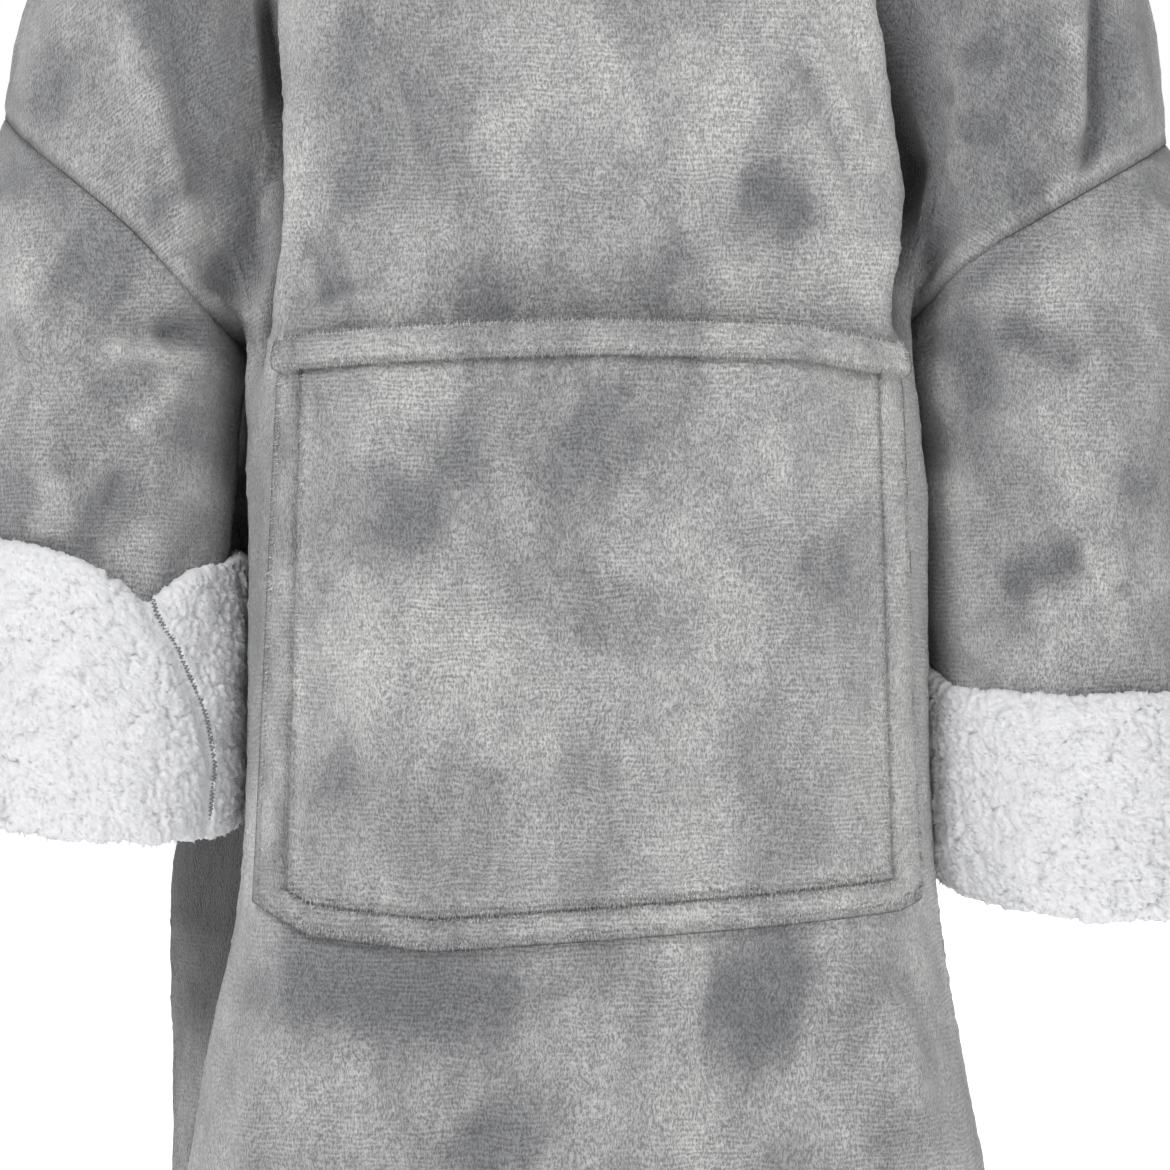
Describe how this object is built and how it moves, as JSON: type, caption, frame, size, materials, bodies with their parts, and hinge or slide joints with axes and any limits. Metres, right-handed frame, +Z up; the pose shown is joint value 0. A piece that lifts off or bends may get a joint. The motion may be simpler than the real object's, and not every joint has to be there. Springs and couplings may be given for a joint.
{
  "type": "wearable blanket hoodie",
  "caption": "Oversized hooded pullover of plush fleece cloth with a front patch pocket and turned-back fleece cuffs, in its worn form.",
  "frame": {"origin": "middle of the neck at shoulder height, where the wearer's shoulders carry the garment", "axes": "+Z up, the front faces -Y, +X to the right as seen from the front"},
  "size_m": [0.7972, 0.3087, 1.2704],
  "materials": {
    "flannel": "short brushed plush pile, soft sheen",
    "fleece": "curly deep pile fleece, matte"
  },
  "bodies": {
    "root": {"front": "flannel", "back": "flannel", "pocket": "flannel", "sleeve_left": "flannel", "cuff_left": "fleece", "hood_left": "flannel", "sleeve_right": "flannel", "cuff_right": "fleece", "hood_right": "flannel"}
  },
  "joints": []
}
